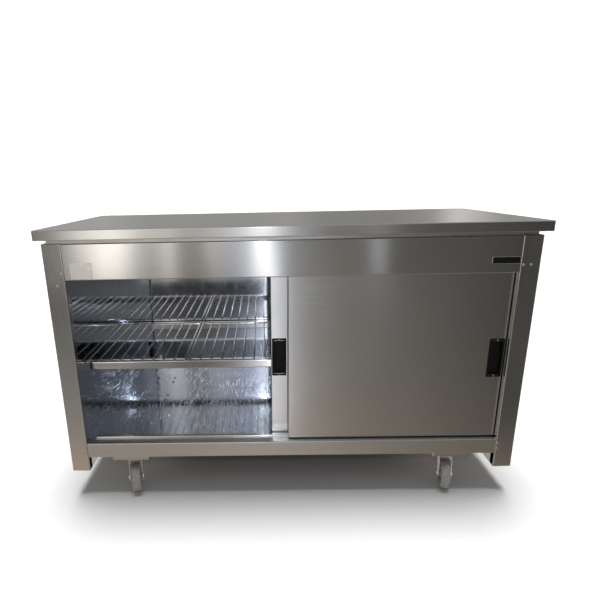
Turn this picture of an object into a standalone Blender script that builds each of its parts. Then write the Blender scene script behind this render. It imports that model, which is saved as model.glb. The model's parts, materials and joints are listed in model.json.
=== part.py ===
"""Mobile food holding cabinet with two sliding doors, built as separate pieces.

Run it with blender --background --python part.py, or from the Text editor.
Metres, +Z up. The origin is on the floor, under the middle of the worktop. +X is to the
right of someone facing the doors, and +Y points away from them.
"""

import math

import bmesh
import bpy
from mathutils import Matrix, Vector

# Driving dimensions
WIDTH = 1.500
DEPTH = 0.675
HEIGHT = 0.900
TOP_EDGE = 0.030  # depth of the worktop's turned-down edge
TOP_RETURN = 0.015  # the edge's inward return
SIDE_OVERHANG = 0.010
FRONT_OVERHANG = 0.0278
REAR_OVERHANG = 0.025
RECESS = 0.013  # height of the shadow gap under the worktop
SHEET = 0.0015  # sheet metal thickness
GAP = 0.0003  # between pieces that touch

BODY_X = WIDTH / 2 - SIDE_OVERHANG  # outer faces of the end panels
FRONT_Y = -DEPTH / 2 + FRONT_OVERHANG  # plane of posts, fascia and base rail
BACK_Y = DEPTH / 2 - REAR_OVERHANG
TOP_Z = HEIGHT - TOP_EDGE - RECESS  # top of the posts and of the fascia
POST_WIDTH = 0.060
BETWEEN_X = BODY_X - POST_WIDTH - GAP  # half width of what fits between the posts
END_FOOT_Z = 0.092  # bottom edge of the end panels

FASCIA_HEIGHT = 0.110
RAIL_Z = (0.142, 0.194)  # bottom and top of the base rails
LINER_X = 0.684  # inner faces of the cavity
LINER_BACK_Y = 0.2705
CEILING_Z = 0.750
CEILING_FRONT_Y = -0.222
FLOOR_Z = RAIL_Z[0] + SHEET + GAP  # underside of the cavity's floor
RETURN_Y = FRONT_Y + 0.024  # how far the posts' inner returns go back

DOOR_WIDTH = 0.683
DOOR_Z = (0.198, 0.770)
DOOR_DEPTH = 0.016
DOOR_SHEET = 0.0012
FRONT_DOOR = (-0.005, -0.290)  # left edge and face of the front door
REAR_DOOR = (-0.059, -0.2515)  # and of the rear door, which rests slid open behind it
PULL_INSET = 0.0265  # a pull's centre line from its door's free edge
PULL_SIZE = (0.047, 0.128)
PULL_Z = 0.472
CUP_SIZE = (0.038, 0.112)

ROLLER_RADIUS = 0.012
ROLLER_WIDTH = 0.008
ROLLER_SPREAD = 0.280  # rollers from the middle of their door
STUD_RADIUS = 0.0025
LEDGE_Z = 0.7875  # the surface that the rollers run on
TRACK_TOP = 0.8415

SHELF_TOP = 0.4565  # top of the shelf rails
SHELF_RAIL_HEIGHT = 0.0275
WIRE_RADIUS = 0.0025
SHELF_COUNT = 4
SHELF_PITCH = 0.340
WIRES = 10
WIRE_PITCH = 0.0363
SHELF_Y = (-0.2295, 0.2405)
FRONT_SHELF_RAIL_Y = -0.230
REAR_SHELF_RAIL_Y = 0.236

CASTOR_X = 0.540
CASTOR_FRONT_Y = -0.2525
CASTOR_REAR_Y = 0.1715
CASTORS = (  # name, swivel axis, turn at rest in degrees
    ("front_left", -CASTOR_X, CASTOR_FRONT_Y, 14.0),
    ("front_right", CASTOR_X, CASTOR_FRONT_Y, -14.0),
    ("rear_left", -CASTOR_X, CASTOR_REAR_Y, 0.0),
    ("rear_right", CASTOR_X, CASTOR_REAR_Y, 0.0),
)
CASTOR_TOP = 0.1297
CASTOR_TRAIL = 0.030
WHEEL_RADIUS = 0.050
AXLE_RADIUS = 0.004
BEAM_WIDTH = 0.120
BEAM_SHEET = 0.003

CONTROL_Z = 0.826  # centre line of the controls at the back
KNOB_X = 0.560
SWITCH_X = 0.480
GLAND_X = 0.630
SWITCH_SIZE = (0.030, 0.022)
ROCKER_SIZE = (0.022, 0.014)

STEEL = ("brushed_stainless", (0.50, 0.48, 0.46), 0.34, 1.0)
POLISHED = ("polished_stainless", (0.58, 0.58, 0.60), 0.16, 1.0)
DARK_STEEL = ("mill_finish_steel", (0.16, 0.16, 0.16), 0.50, 1.0)
ZINC = ("zinc_plated_steel", (0.62, 0.61, 0.58), 0.30, 1.0)
BLACK_PLASTIC = ("black_plastic", (0.012, 0.012, 0.013), 0.42, 0.0)
NYLON = ("white_nylon", (0.72, 0.71, 0.68), 0.45, 0.0)
GREY_RUBBER = ("grey_rubber", (0.40, 0.39, 0.37), 0.60, 0.0)
WOOL = ("mineral_wool", (0.60, 0.52, 0.30), 0.95, 0.0)


def clear_scene():
    for obj in list(bpy.data.objects):
        bpy.data.objects.remove(obj)


def finish_of(finish):
    """The Principled material of a (name, colour, roughness, metallic) finish."""
    name, colour, roughness, metallic = finish
    found = bpy.data.materials.get(name)
    if found:
        return found
    made = bpy.data.materials.new(name)
    made.use_nodes = True
    shader = made.node_tree.nodes["Principled BSDF"]
    shader.inputs["Base Color"].default_value = (*colour, 1.0)
    shader.inputs["Roughness"].default_value = roughness
    shader.inputs["Metallic"].default_value = metallic
    return made


def add(name, mesh, finish, at=(0, 0, 0), turn=0.0, parent=None):
    """A named piece at a place, turned about Z."""
    mesh.name = name
    obj = bpy.data.objects.new(name, mesh)
    obj.location = at
    obj.rotation_euler.z = turn
    obj.parent = parent
    bpy.context.scene.collection.objects.link(obj)
    if finish:
        mesh.materials.append(finish_of(finish))
    return obj


def pivot(name, at, turn=0.0, parent=None):
    """An empty on a joint's axis, which the moving pieces hang from."""
    empty = bpy.data.objects.new(name, None)
    empty.location = at
    empty.rotation_euler.z = turn
    empty.empty_display_size = 0.05
    empty.parent = parent
    bpy.context.scene.collection.objects.link(empty)
    return empty


def mesh_from(bm):
    bmesh.ops.recalc_face_normals(bm, faces=bm.faces)
    mesh = bpy.data.meshes.new("shape")
    bm.to_mesh(mesh)
    bm.free()
    return mesh


def box_mesh(low, high):
    """A block between two corners."""
    low, high = Vector(low), Vector(high)
    bm = bmesh.new()
    bmesh.ops.create_cube(bm, size=1.0)
    bmesh.ops.scale(bm, vec=high - low, verts=bm.verts)
    bmesh.ops.translate(bm, vec=(low + high) / 2, verts=bm.verts)
    return mesh_from(bm)


def prism_mesh(outline, along, start, end):
    """A closed outline extruded along X, Y or Z. Its points are the other two coordinates, in order."""
    bm = bmesh.new()
    slot = "XYZ".index(along)
    corners = []
    for first, second in outline:
        place = [first, second]
        place.insert(slot, start)
        corners.append(bm.verts.new(place))
    face = bm.faces.new(corners)
    grown = bmesh.ops.extrude_face_region(bm, geom=[face])
    step = Vector((0, 0, 0))
    step[slot] = end - start
    moved = [item for item in grown["geom"] if isinstance(item, bmesh.types.BMVert)]
    bmesh.ops.translate(bm, vec=step, verts=moved)
    return mesh_from(bm)


def folded(path, thickness=SHEET):
    """Outline of a bent sheet: its outer face along the path, its inner face to the path's right."""
    points = [Vector(point) for point in path]
    ways = [(after - before).normalized() for before, after in zip(points, points[1:])]
    rights = [Vector((way.y, -way.x)) for way in ways]
    inner = []
    for i, point in enumerate(points):
        first = rights[max(i - 1, 0)]
        second = rights[min(i, len(rights) - 1)]
        mitre = (first + second) / (1 + first.dot(second))
        inner.append(point + mitre * thickness)
    return [tuple(point) for point in points + inner[::-1]]


def turned_mesh(profile, along, segments, closed=False):
    """A profile of (along, radius) points turned about X, Y or Z. A closed one is a ring."""
    bm = bmesh.new()
    points = [bm.verts.new((radius, 0, height)) for height, radius in profile]
    pairs = list(zip(points, points[1:]))
    if closed:
        pairs.append((points[-1], points[0]))
    edges = [bm.edges.new(pair) for pair in pairs]
    bmesh.ops.spin(
        bm,
        geom=points + edges,
        axis=(0, 0, 1),
        cent=(0, 0, 0),
        dvec=(0, 0, 0),
        angle=math.tau,
        steps=segments,
        use_merge=True,
    )
    bmesh.ops.remove_doubles(bm, verts=bm.verts, dist=1e-6)
    if along == "X":
        bmesh.ops.rotate(bm, cent=(0, 0, 0), matrix=Matrix.Rotation(math.pi / 2, 3, "Y"), verts=bm.verts)
    if along == "Y":
        bmesh.ops.rotate(bm, cent=(0, 0, 0), matrix=Matrix.Rotation(-math.pi / 2, 3, "X"), verts=bm.verts)
    mesh = mesh_from(bm)
    mesh.shade_smooth()
    mesh.set_sharp_from_angle(angle=math.radians(40))
    return mesh


def rod_mesh(radius, start, end, along, segments=16):
    return turned_mesh(((start, 0), (start, radius), (end, radius), (end, 0)), along, segments)


def combine(target, operation, mesh, at=(0, 0, 0)):
    """Cuts a shape from a piece, or joins one to it, with a Boolean. The helper stays out of renders."""
    helper = bpy.data.objects.new(f"{target.name}_{operation.lower()}", mesh)
    helper.location = at
    helper.parent = target
    helper.hide_render = True
    helper.display_type = "WIRE"
    bpy.context.scene.collection.objects.link(helper)
    boolean = target.modifiers.new(operation.title(), "BOOLEAN")
    boolean.operation = operation
    boolean.object = helper


def cut(target, mesh, at=(0, 0, 0)):
    combine(target, "DIFFERENCE", mesh, at)


def join(target, mesh, at=(0, 0, 0)):
    combine(target, "UNION", mesh, at)


def make_worktop():
    """A folded sheet top over a welded angle frame, which shows as the dark gap under the edge."""
    half = (WIDTH / 2, DEPTH / 2)
    bottom = HEIGHT - TOP_EDGE
    top = add("worktop", box_mesh((-half[0], -half[1], bottom), (*half, HEIGHT)), STEEL)
    inside = (half[0] - SHEET, half[1] - SHEET)
    cut(top, box_mesh((-inside[0], -inside[1], bottom + SHEET), (*inside, HEIGHT - SHEET)))
    mouth = (half[0] - TOP_RETURN, half[1] - TOP_RETURN)
    cut(top, box_mesh((-mouth[0], -mouth[1], bottom - SHEET), (*mouth, bottom + 2 * SHEET)))

    frame_x = BODY_X - 0.012
    frame_y = (FRONT_Y + 0.012, BACK_Y - 0.012)
    flange = 0.040
    wall = 0.002
    low = TOP_Z + GAP
    high = HEIGHT - SHEET - GAP
    frame = add("top_frame", box_mesh((-frame_x, frame_y[0], low), (frame_x, frame_y[1], high)), DARK_STEEL)
    for inset, floor in ((wall, low + wall), (flange, low - wall)):
        cut(
            frame,
            box_mesh(
                (inset - frame_x, frame_y[0] + inset, floor),
                (frame_x - inset, frame_y[1] - inset, high + wall),
            ),
        )


def make_shell():
    """End panels with their posts, fascia, back panel and base rails."""
    post_x = BODY_X - POST_WIDTH
    section = folded(
        (
            (-post_x, RETURN_Y),
            (-post_x, FRONT_Y),
            (-BODY_X, FRONT_Y),
            (-BODY_X, BACK_Y),
            (-post_x, BACK_Y),
        )
    )
    foot_top = RAIL_Z[0] - GAP
    foot = folded(
        ((-BODY_X, foot_top), (-BODY_X, END_FOOT_Z), (-post_x, END_FOOT_Z), (-post_x, foot_top)), -SHEET
    )
    for side, name in ((1, "end_panel_left"), (-1, "end_panel_right")):
        outline = [(side * x, y) for x, y in section]
        panel = add(name, prism_mesh(outline, "Z", END_FOOT_Z, TOP_Z), STEEL)
        closed_foot = [(side * x, z) for x, z in foot]
        join(panel, prism_mesh(closed_foot, "Y", FRONT_Y, BACK_Y))

    fascia_low = TOP_Z - FASCIA_HEIGHT
    fascia = folded(
        (
            (FRONT_Y + 0.0145, fascia_low),
            (FRONT_Y, fascia_low),
            (FRONT_Y, TOP_Z),
            (FRONT_Y + 0.020, TOP_Z),
        )
    )
    add("fascia", prism_mesh(fascia, "X", -BETWEEN_X, BETWEEN_X), STEEL)

    low, high = RAIL_Z
    front = folded(((FRONT_Y + 0.040, low), (FRONT_Y, low), (FRONT_Y, high), (FRONT_Y + 0.0195, high)))
    add("base_rail_front", prism_mesh(front, "X", -BETWEEN_X, BETWEEN_X), STEEL)
    web = BACK_Y - SHEET - GAP
    rear = folded(((web - 0.030, high), (web, high), (web, low), (web - 0.030, low)))
    add("base_rail_rear", prism_mesh(rear, "X", -BETWEEN_X, BETWEEN_X), STEEL)

    back = add(
        "back_panel",
        box_mesh((-BETWEEN_X, BACK_Y - SHEET, RAIL_Z[0]), (BETWEEN_X, BACK_Y, TOP_Z)),
        STEEL,
    )
    through = (-2 * SHEET, 2 * SHEET)
    cut(back, rod_mesh(0.005, *through, "Y"), (KNOB_X, BACK_Y, CONTROL_Z))
    cut(back, rod_mesh(0.0085, *through, "Y", 16), (GLAND_X, BACK_Y, CONTROL_Z))
    half = (SWITCH_SIZE[0] / 2 - 0.0015, SWITCH_SIZE[1] / 2 - 0.0015)
    cut(
        back,
        box_mesh((-half[0], through[0], -half[1]), (half[0], through[1], half[1])),
        (SWITCH_X, BACK_Y, CONTROL_Z),
    )


def make_liners():
    """The cavity's walls, floor and ceiling, with mineral wool outside them."""
    inner_x = LINER_X - GAP
    floor = (
        (-BETWEEN_X, FRONT_Y + SHEET + GAP),
        (BETWEEN_X, FRONT_Y + SHEET + GAP),
        (BETWEEN_X, RETURN_Y),
        (inner_x, RETURN_Y),
        (inner_x, LINER_BACK_Y - GAP),
        (-inner_x, LINER_BACK_Y - GAP),
        (-inner_x, RETURN_Y),
        (-BETWEEN_X, RETURN_Y),
    )
    add("floor_pan", prism_mesh(floor, "Z", FLOOR_Z, FLOOR_Z + SHEET), POLISHED)
    wall_y = (RETURN_Y + GAP, LINER_BACK_Y - GAP)
    for side, name in ((-1, "side_liner_left"), (1, "side_liner_right")):
        faces = sorted((side * LINER_X, side * (LINER_X + SHEET)))
        add(
            name,
            box_mesh((faces[0], wall_y[0], FLOOR_Z), (faces[1], wall_y[1], CEILING_Z + SHEET)),
            POLISHED,
        )
    add(
        "back_liner",
        box_mesh(
            (-inner_x, LINER_BACK_Y, FLOOR_Z),
            (inner_x, LINER_BACK_Y + SHEET, CEILING_Z - GAP),
        ),
        POLISHED,
    )
    ceiling = folded(((LINER_BACK_Y, CEILING_Z), (CEILING_FRONT_Y, CEILING_Z), (CEILING_FRONT_Y, 0.845)))
    add("ceiling_liner", prism_mesh(ceiling, "X", -inner_x, inner_x), POLISHED)

    outer_x = BODY_X - 0.004
    lined_x = LINER_X + SHEET + GAP
    wrap = (
        (-outer_x, RETURN_Y + 0.006),
        (-lined_x, RETURN_Y + 0.006),
        (-lined_x, LINER_BACK_Y + SHEET + GAP),
        (lined_x, LINER_BACK_Y + SHEET + GAP),
        (lined_x, RETURN_Y + 0.006),
        (outer_x, RETURN_Y + 0.006),
        (outer_x, BACK_Y - SHEET - 0.001),
        (-outer_x, BACK_Y - SHEET - 0.001),
    )
    add("insulation_wrap", prism_mesh(wrap, "Z", RAIL_Z[1] + 0.002, CEILING_Z - 0.005), WOOL)
    add(
        "insulation_ceiling",
        box_mesh(
            (-inner_x, CEILING_FRONT_Y + SHEET + GAP, CEILING_Z + SHEET + GAP),
            (inner_x, LINER_BACK_Y - GAP, CEILING_Z + 0.040),
        ),
        WOOL,
    )


def lane(door):
    """How far back a door's running gear is from the front door's."""
    return door[1] - FRONT_DOOR[1]


def make_track():
    """Double top track: two channels, each with a ledge for its door's rollers, and the guide below."""
    under = TRACK_TOP - SHEET
    ledge_low = LEDGE_Z - SHEET
    wall_front = FRONT_Y + SHEET + 0.0022
    walls = [-0.2665 + lane(door) for door in (FRONT_DOOR, REAR_DOOR)]
    ledge_depth = 0.014
    section = [(wall_front, 0.800), (wall_front, TRACK_TOP), (walls[1] + SHEET, TRACK_TOP)]
    for wall in walls[::-1]:
        section += [
            (wall + SHEET, under),
            (wall + SHEET, ledge_low),
            (wall - ledge_depth, ledge_low),
            (wall - ledge_depth, LEDGE_Z),
            (wall, LEDGE_Z),
            (wall, under),
        ]
    section.remove((walls[1] + SHEET, under))
    section += [(wall_front + SHEET, under), (wall_front + SHEET, 0.800)]
    add("door_track", prism_mesh(section, "X", -BETWEEN_X, BETWEEN_X), STEEL)

    guide_front = -0.2720
    guide_back = guide_front + 0.0155
    guide = folded(
        (
            (guide_front, 0.182),
            (guide_front, 0.200),
            (guide_back, 0.200),
            (guide_back, FLOOR_Z + SHEET + GAP),
        )
    )
    add("door_guide", prism_mesh(guide, "X", -0.658, BETWEEN_X - 0.002), STEEL)


def make_door(name, door, free_edge):
    """One hollow sheet door with its inner pan, flush pull, hanger and two rollers.

    free_edge is +1 where the pull is by the door's right edge, and -1 by its left edge.
    """
    left, face = door
    slide = pivot(f"{name}_slide", (left + DOOR_WIDTH / 2, face, 0))
    half = DOOR_WIDTH / 2
    low, high = DOOR_Z
    skin = add(
        f"{name}_skin",
        box_mesh((-half, 0, low), (half, DOOR_DEPTH, high)),
        STEEL,
        parent=slide,
    )
    inside = half - DOOR_SHEET
    cut(
        skin,
        box_mesh(
            (-inside, DOOR_SHEET, low + DOOR_SHEET),
            (inside, 2 * DOOR_DEPTH, high - DOOR_SHEET),
        ),
    )
    pull_at = (free_edge * (half - PULL_INSET), 0, PULL_Z)
    hole = (CUP_SIZE[0] / 2 + 0.0005, CUP_SIZE[1] / 2 + 0.0005)
    cut(skin, box_mesh((-hole[0], -0.005, -hole[1]), (hole[0], 0.005, hole[1])), pull_at)

    add(
        f"{name}_inner_pan",
        box_mesh(
            (-inside + GAP, DOOR_DEPTH - DOOR_SHEET, low + DOOR_SHEET + GAP),
            (inside - GAP, DOOR_DEPTH, high - DOOR_SHEET - GAP),
        ),
        STEEL,
        parent=slide,
    )

    half_w, half_h = PULL_SIZE[0] / 2, PULL_SIZE[1] / 2
    cup_w, cup_h = CUP_SIZE[0] / 2, CUP_SIZE[1] / 2
    bezel = 0.002
    pull = add(
        f"{name}_pull",
        box_mesh((-half_w, -bezel - GAP, -half_h), (half_w, -GAP, half_h)),
        BLACK_PLASTIC,
        at=pull_at,
        parent=slide,
    )
    join(pull, box_mesh((-cup_w, -bezel / 2, -cup_h), (cup_w, 0.0115, cup_h)))
    wall = 0.0015
    cut(pull, box_mesh((wall - cup_w, -0.01, wall - cup_h), (cup_w - wall, 0.0100, cup_h - wall)))

    upright = 0.0055
    hanger_section = folded(
        (
            (DOOR_DEPTH - 0.001, high + GAP),
            (upright, high + GAP),
            (upright, LEDGE_Z + 2 * ROLLER_RADIUS),
        ),
        0.002,
    )
    hanger = add(
        f"{name}_hanger",
        prism_mesh(hanger_section, "X", -half + 0.020, half - 0.020),
        ZINC,
        parent=slide,
    )
    roller_z = LEDGE_Z + ROLLER_RADIUS + GAP
    roller_y = 0.0165
    stud = (
        (upright + 0.001, 0),
        (upright + 0.001, STUD_RADIUS),
        (roller_y + ROLLER_WIDTH / 2 + GAP, STUD_RADIUS),
        (roller_y + ROLLER_WIDTH / 2 + GAP, 0.0042),
        (roller_y + ROLLER_WIDTH / 2 + 0.0015, 0.0042),
        (roller_y + ROLLER_WIDTH / 2 + 0.0015, 0),
    )
    rim = ROLLER_RADIUS
    bore = STUD_RADIUS + 0.0004
    width = ROLLER_WIDTH / 2
    tyre = ((-width, bore), (-width, rim - 0.001), (0.001 - width, rim), (width - 0.001, rim))
    tyre += ((width, rim - 0.001), (width, bore))
    for side, end in ((-1, "left"), (1, "right")):
        axis_at = (side * ROLLER_SPREAD, 0, roller_z)
        join(hanger, turned_mesh(stud, "Y", 12), axis_at)
        axle = pivot(f"{name}_roller_{end}_axis", (axis_at[0], roller_y, roller_z), parent=slide)
        add(f"{name}_roller_{end}", turned_mesh(tyre, "Y", 16, closed=True), NYLON, parent=axle)


def make_shelves():
    """Channel rails across the cavity, and welded wire shelves lying on them."""
    end = LINER_X - GAP
    low = SHELF_TOP - SHELF_RAIL_HEIGHT
    for name, face, flange in (
        ("shelf_rail_front", FRONT_SHELF_RAIL_Y, 0.015),
        ("shelf_rail_rear", REAR_SHELF_RAIL_Y, 0.025),
    ):
        section = folded(((face + flange, low), (face, low), (face, SHELF_TOP), (face + flange, SHELF_TOP)))
        add(name, prism_mesh(section, "X", -end, end), STEEL)

    wire_z = WIRE_RADIUS + GAP
    weld = 0.0008
    cross_z = wire_z - 2 * WIRE_RADIUS + weld
    first = -(WIRES - 1) / 2 * WIRE_PITCH
    cross_half = -first + WIRE_RADIUS
    for number in range(SHELF_COUNT):
        middle = (number - (SHELF_COUNT - 1) / 2) * SHELF_PITCH
        shelf = add(
            f"wire_shelf_{number + 1}",
            rod_mesh(WIRE_RADIUS, -cross_half, cross_half, "X", 6),
            ZINC,
            at=(middle, -0.208, SHELF_TOP + cross_z),
        )
        lift = (0, 0.208, -cross_z)
        for wire in range(WIRES):
            place = (first + wire * WIRE_PITCH, lift[1], wire_z + lift[2])
            join(shelf, rod_mesh(WIRE_RADIUS, *SHELF_Y, "Y", 6), place)
        join(shelf, rod_mesh(WIRE_RADIUS, -cross_half, cross_half, "X", 6), (0, 0.208 + 0.228, 0))


def make_castor(name, x, y, turn):
    """Swivel castor: a bolted top plate with its kingpin, a fork, an axle bolt and a wheel."""
    plate_z = (CASTOR_TOP - 0.003, CASTOR_TOP)
    plate = add(
        f"castor_plate_{name}",
        box_mesh((-0.0475, -0.035, plate_z[0]), (0.0475, 0.035, plate_z[1])),
        ZINC,
        at=(x, y, 0),
    )
    race = 0.1155
    crown = (race - GAP - 0.003, race - GAP)
    kingpin = (
        (plate_z[0] + 0.001, 0),
        (plate_z[0] + 0.001, 0.022),
        (race + 0.003, 0.026),
        (race, 0.024),
        (race, 0.006),
        (crown[0] - 0.0004, 0.006),
        (crown[0] - 0.0004, 0.0095),
        (crown[0] - 0.006, 0.0095),
        (crown[0] - 0.006, 0),
    )
    join(plate, turned_mesh(kingpin, "Z", 16))

    swivel = pivot(f"castor_swivel_{name}", (x, y, 0), math.radians(turn))
    fork = add(
        f"castor_fork_{name}",
        box_mesh((-0.0215, -0.030, crown[0]), (0.0215, 0.028, crown[1])),
        ZINC,
        parent=swivel,
    )
    cut(fork, rod_mesh(0.0066, crown[0] - 0.01, crown[1] + 0.01, "Z", 16))
    foot_radius = 0.013
    foot = [
        (
            -CASTOR_TRAIL + foot_radius * math.cos(angle),
            WHEEL_RADIUS + foot_radius * math.sin(angle),
        )
        for angle in [math.radians(degrees) for degrees in range(190, 351, 40)]
    ]
    prong = [*foot, (0.028, crown[0] + 0.001), (-0.030, crown[0] + 0.001)]
    for side in (-1, 1):
        faces = sorted((side * 0.0185, side * 0.0215))
        join(fork, prism_mesh(prong, "X", *faces))
    cut(fork, rod_mesh(AXLE_RADIUS + 0.0004, -0.03, 0.03, "X", 16), (0, -CASTOR_TRAIL, WHEEL_RADIUS))

    hub = pivot(f"castor_axle_axis_{name}", (0, -CASTOR_TRAIL, WHEEL_RADIUS), parent=swivel)
    head = (0.0215 + GAP, 0.0255)
    bolt = (
        (-head[1], 0),
        (-head[1], 0.0065),
        (-head[0], 0.0065),
        (-head[0], AXLE_RADIUS),
        (head[0], AXLE_RADIUS),
        (head[0], 0.0065),
        (head[1], 0.0065),
        (head[1], 0),
    )
    add(f"castor_axle_{name}", turned_mesh(bolt, "X", 12), ZINC, parent=hub)
    side_profile = (
        (-0.0175, AXLE_RADIUS + 0.0004),
        (-0.0175, 0.011),
        (-0.007, 0.014),
        (-0.007, 0.034),
        (-0.015, 0.041),
        (-0.0125, 0.0485),
        (-0.005, WHEEL_RADIUS),
    )
    profile = side_profile + tuple((-along, radius) for along, radius in side_profile[::-1])
    add(f"castor_wheel_{name}", turned_mesh(profile, "X", 20, closed=True), GREY_RUBBER, parent=hub)


def make_castors():
    for castor in CASTORS:
        make_castor(*castor)
    half = BEAM_WIDTH / 2
    low = CASTOR_TOP + GAP
    high = RAIL_Z[0] - GAP
    beam = folded(((-half, high), (-half, low), (half, low), (half, high)), -BEAM_SHEET)
    for side, name in ((-1, "castor_beam_left"), (1, "castor_beam_right")):
        outline = [(side * CASTOR_X + x, z) for x, z in beam]
        add(name, prism_mesh(outline, "Y", FRONT_Y + 0.003, BACK_Y - 0.006), DARK_STEEL)


def element_path():
    """Centre line of the sheathed element: straight runs along X joined by half-turns."""
    runs = 4
    pitch = 0.110
    reach = 0.380
    first = -(runs - 1) / 2 * pitch
    points = []
    for run in range(runs):
        y = first + run * pitch
        way = 1 if run % 2 == 0 else -1
        points += [(-way * reach, y), (way * reach, y)]
        if run < runs - 1:
            turns = [math.radians(-90 + step * 180 / 8) for step in range(1, 8)]
            points += [
                (way * (reach + pitch / 2 * math.cos(turn)), y + pitch / 2 * (1 + math.sin(turn)))
                for turn in turns
            ]
    return points


def make_heater():
    """Sheathed element under the floor, in its own tray, with thermostat, switch and gland at the back."""
    element_z = 0.128
    tube = bpy.data.curves.new("heating_element", "CURVE")
    tube.dimensions = "3D"
    tube.bevel_depth = 0.004
    tube.bevel_resolution = 1
    tube.use_fill_caps = True
    spline = tube.splines.new("POLY")
    path = element_path()
    spline.points.add(len(path) - 1)
    for point, (x, y) in zip(spline.points, path):
        point.co = (x, y, element_z, 1)
    add("heating_element", tube, DARK_STEEL)

    tray_low = (-0.465, -0.230, 0.112)
    tray_high = (0.465, 0.230, FLOOR_Z - GAP)
    tray = add("element_tray", box_mesh(tray_low, tray_high), DARK_STEEL)
    wall = Vector((SHEET, SHEET, SHEET))
    pocket_high = Vector(tray_high) - wall
    pocket_high.z = tray_high[2] + 0.01
    cut(tray, box_mesh(Vector(tray_low) + wall, pocket_high))

    inner = BACK_Y - SHEET - GAP
    thermostat = add(
        "thermostat",
        box_mesh((KNOB_X - 0.023, inner - 0.036, CONTROL_Z - 0.020), (KNOB_X + 0.023, inner, CONTROL_Z + 0.020)),
        BLACK_PLASTIC,
    )
    join(thermostat, rod_mesh(0.003, inner - 0.002, BACK_Y + 0.010, "Y"), (KNOB_X, 0, CONTROL_Z))

    bore = 0.0034
    grip = (
        (0.0125, 0),
        (0.0125, bore),
        (0, bore),
        (0, 0.021),
        (0.003, 0.0205),
        (0.004, 0.016),
        (0.016, 0.0145),
        (0.017, 0.0130),
        (0.017, 0),
    )
    knob = pivot("thermostat_axis", (KNOB_X, BACK_Y + 0.001, CONTROL_Z))
    add("thermostat_knob", turned_mesh(grip, "Y", 16), BLACK_PLASTIC, parent=knob)

    flange = (SWITCH_SIZE[0] / 2, SWITCH_SIZE[1] / 2)
    body = (flange[0] - 0.002, flange[1] - 0.002)
    switch = add(
        "power_switch",
        box_mesh((-flange[0], GAP, -flange[1]), (flange[0], 0.002, flange[1])),
        BLACK_PLASTIC,
        at=(SWITCH_X, BACK_Y, CONTROL_Z),
    )
    join(switch, box_mesh((-body[0], -0.022, -body[1]), (body[0], 0.001, body[1])))
    half = (ROCKER_SIZE[0] / 2, ROCKER_SIZE[1] / 2)
    well = (half[0] + 0.0010, half[1] + 0.0008)
    cut(switch, box_mesh((-well[0], -0.010, -well[1]), (well[0], 0.010, well[1])))
    rocker = (
        (-half[0], -0.0045),
        (half[0], -0.0045),
        (half[0], 0.0045),
        (0, 0.0026),
        (-half[0], 0.0018),
    )
    hinge = pivot("power_rocker_axis", (SWITCH_X, BACK_Y - 0.002, CONTROL_Z))
    add("power_rocker", prism_mesh(rocker, "Z", -half[1], half[1]), BLACK_PLASTIC, parent=hinge)

    gland = (
        (-0.012, 0.0055),
        (-0.012, 0.008),
        (GAP, 0.008),
        (GAP, 0.0125),
        (0.007, 0.0125),
        (0.008, 0.0105),
        (0.015, 0.0095),
        (0.018, 0.0070),
        (0.018, 0.0055),
    )
    add(
        "cable_gland",
        turned_mesh(gland, "Y", 16, closed=True),
        BLACK_PLASTIC,
        at=(GLAND_X, BACK_Y, CONTROL_Z),
    )


def main():
    clear_scene()
    make_worktop()
    make_shell()
    make_liners()
    make_track()
    make_door("front_door", FRONT_DOOR, 1)
    make_door("rear_door", REAR_DOOR, -1)
    make_shelves()
    make_castors()
    make_heater()


main()
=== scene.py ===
"""Finishes and detail pieces of the mobile food holding cabinet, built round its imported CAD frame.

Laid out as an add-on and run as a script. Metres, +Z up, the origin on the floor under the
middle of the worktop, +X to the right of someone facing the doors and +Y away from them.
"""

import json
import math
from functools import partial

import bpy
import numpy as np
from mathutils import Matrix, Vector


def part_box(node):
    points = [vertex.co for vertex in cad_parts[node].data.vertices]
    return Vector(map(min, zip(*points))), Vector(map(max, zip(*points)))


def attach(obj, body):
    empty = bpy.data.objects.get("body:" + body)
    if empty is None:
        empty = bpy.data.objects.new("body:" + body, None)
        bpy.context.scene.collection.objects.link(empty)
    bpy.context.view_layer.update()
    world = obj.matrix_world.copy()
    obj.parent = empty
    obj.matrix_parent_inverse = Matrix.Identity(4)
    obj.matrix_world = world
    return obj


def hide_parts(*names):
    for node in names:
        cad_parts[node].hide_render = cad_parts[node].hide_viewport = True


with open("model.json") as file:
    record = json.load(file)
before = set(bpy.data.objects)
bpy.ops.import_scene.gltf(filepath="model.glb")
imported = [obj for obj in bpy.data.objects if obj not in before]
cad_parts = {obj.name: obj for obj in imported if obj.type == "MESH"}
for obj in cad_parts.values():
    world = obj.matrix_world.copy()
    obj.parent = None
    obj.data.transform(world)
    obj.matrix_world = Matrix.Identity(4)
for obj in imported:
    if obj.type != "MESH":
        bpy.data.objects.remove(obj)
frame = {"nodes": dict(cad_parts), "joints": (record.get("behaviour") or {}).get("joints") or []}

bl_info = {
    "name": "Food holding cabinet",
    "version": (1, 0, 0),
    "blender": (4, 5, 0),
    "location": "View3D > Sidebar > Cabinet",
    "description": "Stainless sheet work, wire shelves, castors and fittings of a holding cabinet",
    "category": "Object",
}

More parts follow.
